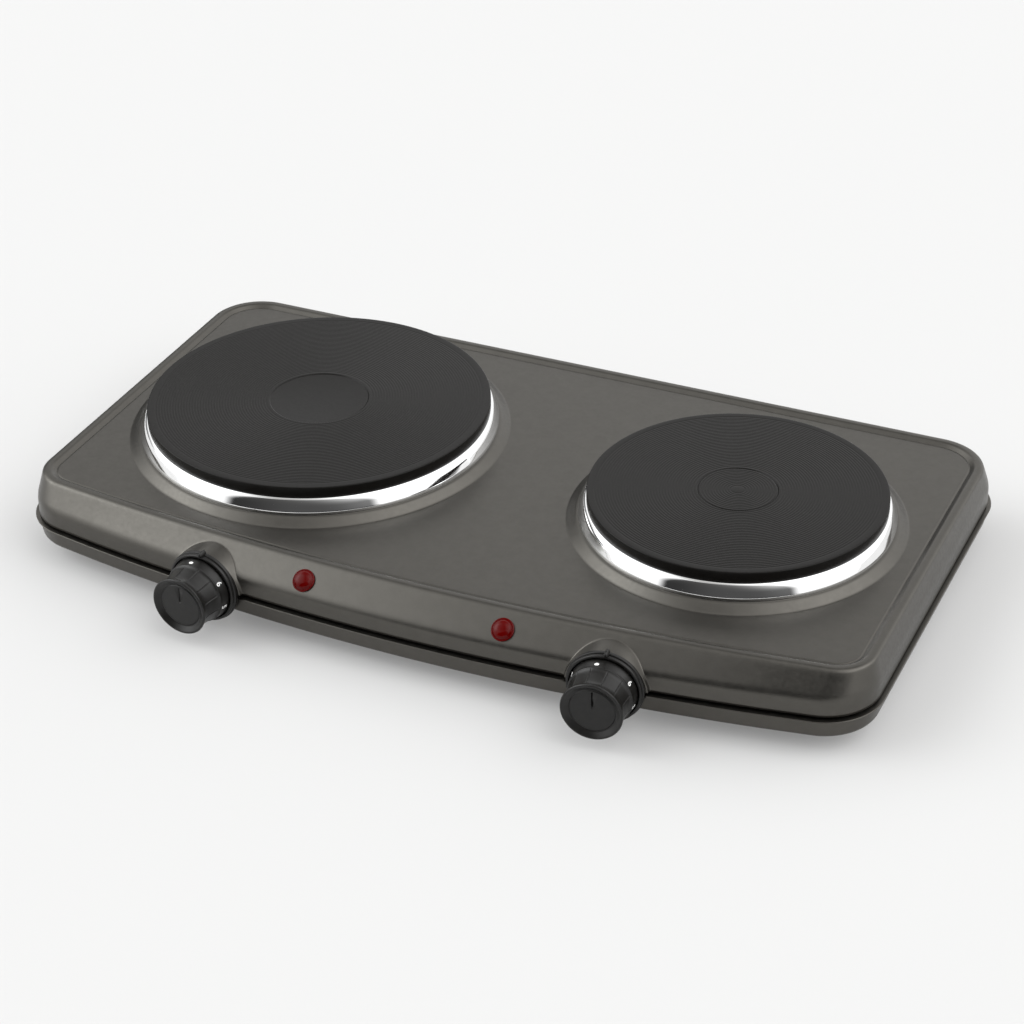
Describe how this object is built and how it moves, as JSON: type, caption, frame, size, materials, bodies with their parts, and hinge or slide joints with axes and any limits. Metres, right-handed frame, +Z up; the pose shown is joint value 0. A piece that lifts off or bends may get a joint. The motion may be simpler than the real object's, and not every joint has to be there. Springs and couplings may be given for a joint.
{
  "type": "electric hot plate",
  "caption": "Portable electric hot plate: cast iron plates of two sizes on a low pressed steel body with a bowed front, rotary knobs and pilot lamps.",
  "frame": {"origin": "centre of the bounding box at the height of the feet", "axes": "+X to the user's right, along the body; +Y to the back; +Z up"},
  "size_m": [0.477, 0.2858, 0.062],
  "materials": {
    "body_paint": "satin metallic gunmetal grey stove enamel on pressed steel",
    "pan_paint": "satin metallic gunmetal grey, slightly darker than the body",
    "cast_iron": "matt black heat-cured coating over fine turned grooves",
    "trim_steel": "bright polished stainless steel",
    "resistance_wire": "dull oxidised resistance wire",
    "ceramic": "unglazed steatite",
    "zinc_steel": "zinc plated steel",
    "spring_steel": "bare spring steel",
    "knob_plastic": "fine satin black phenolic",
    "brass": "turned and stamped brass",
    "lamp_red": "clear red moulded lens",
    "lamp_glass": "small neon lamp",
    "foot_rubber": "moulded black rubber",
    "black_nylon": "black nylon",
    "glass_sleeve": "woven fibreglass sleeving",
    "earth_sleeve": "green and yellow woven sleeving"
  },
  "bodies": {
    "base": {"top_shell": "body_paint", "base_pan": "pan_paint", "large_plate": "cast_iron", "large_trim_ring": "trim_steel", "large_heating_coil": "resistance_wire", "large_insulation": "ceramic", "large_terminal_block": "ceramic", "large_bottom_cover": "zinc_steel", "large_clamp_bridge": "zinc_steel", "large_stud": "zinc_steel", "large_thermal_cutout": "zinc_steel", "small_plate": "cast_iron", "small_trim_ring": "trim_steel", "small_heating_coil": "resistance_wire", "small_insulation": "ceramic", "small_terminal_block": "ceramic", "small_bottom_cover": "zinc_steel", "small_clamp_bridge": "zinc_steel", "small_stud": "zinc_steel", "small_thermal_cutout": "zinc_steel", "left_knob_bezel": "knob_plastic", "left_bimetal_blade": "spring_steel", "left_thermostat_bracket": "zinc_steel", "left_thermostat_body": "ceramic", "left_thermostat_bushing": "brass", "left_thermostat_terminals": "brass", "left_lamp_lens": "lamp_red", "left_lamp_bulb": "lamp_glass", "left_front_foot": "foot_rubber", "left_rear_foot": "foot_rubber", "right_knob_bezel": "knob_plastic", "right_bimetal_blade": "spring_steel", "right_thermostat_bracket": "zinc_steel", "right_thermostat_body": "ceramic", "right_thermostat_bushing": "brass", "right_thermostat_terminals": "brass", "right_lamp_lens": "lamp_red", "right_lamp_bulb": "lamp_glass", "right_front_foot": "foot_rubber", "right_rear_foot": "foot_rubber", "stud_nuts": "zinc_steel", "base_screws": "zinc_steel", "foot_screws": "zinc_steel", "thermostat_screws": "zinc_steel", "terminal_screws": "zinc_steel", "earth_stud": "zinc_steel", "shell_posts": "zinc_steel", "lamp_clips": "spring_steel", "cord_gland": "black_nylon", "mains_terminal_block": "ceramic", "internal_wiring": "glass_sleeve", "earth_wire": "earth_sleeve"},
    "left_knob_set": {"left_knob": "knob_plastic", "left_knob_clip": "spring_steel", "left_thermostat_shaft": "zinc_steel"},
    "right_knob_set": {"right_knob": "knob_plastic", "right_knob_clip": "spring_steel", "right_thermostat_shaft": "zinc_steel"}
  },
  "joints": [
    {"name": "left_knob_turn", "type": "hinge", "parent": "base", "child": "left_knob_set", "pos_m": [-0.112, -0.12163, 0.0234], "axis": [0.0932, 0.9956, 0], "range_deg": [0, 300]},
    {"name": "right_knob_turn", "type": "hinge", "parent": "base", "child": "right_knob_set", "pos_m": [0.112, -0.12163, 0.0234], "axis": [-0.0932, 0.9956, 0], "range_deg": [0, 300]}
  ]
}
